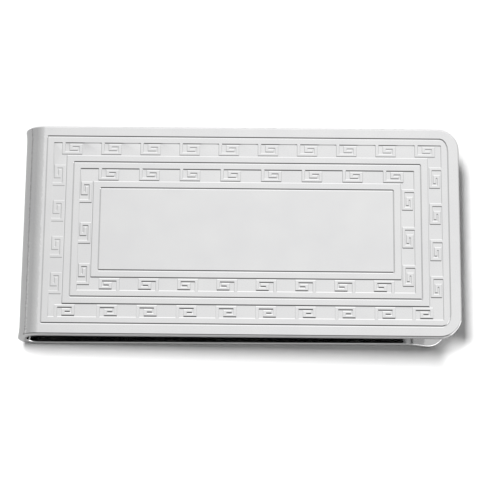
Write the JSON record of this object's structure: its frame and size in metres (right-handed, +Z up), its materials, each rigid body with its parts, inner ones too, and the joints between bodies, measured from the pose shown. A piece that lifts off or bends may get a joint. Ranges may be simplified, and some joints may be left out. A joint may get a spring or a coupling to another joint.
{
  "type": "money clip",
  "caption": "Folded money clip: a plate engraved with Greek-key bands, a spring fold and a back leaf with a flared lip grip folded notes.",
  "frame": {"origin": "middle of the object's box, on the surface that it stands on", "axes": "+X from the crown of the fold to the open end, +Y across the strip, +Z up out of the engraved front plate"},
  "size_m": [0.054, 0.027, 0.0061],
  "materials": {
    "polished_plating": "bright polished silver-tone plating over brass"
  },
  "bodies": {
    "back_leaf": {"back_leaf": "polished_plating", "flared_lip": "polished_plating", "fold_lower": "polished_plating"},
    "front_plate": {"front_plate": "polished_plating", "fold_upper": "polished_plating"}
  },
  "joints": [
    {"name": "spring_fold", "type": "hinge", "parent": "back_leaf", "child": "front_plate", "pos_m": [-0.02697, 0, 0.00227], "axis": [0, -1, 0], "range_deg": [-1.5, 6], "stiffness_Nm_per_rad": 5.6}
  ]
}
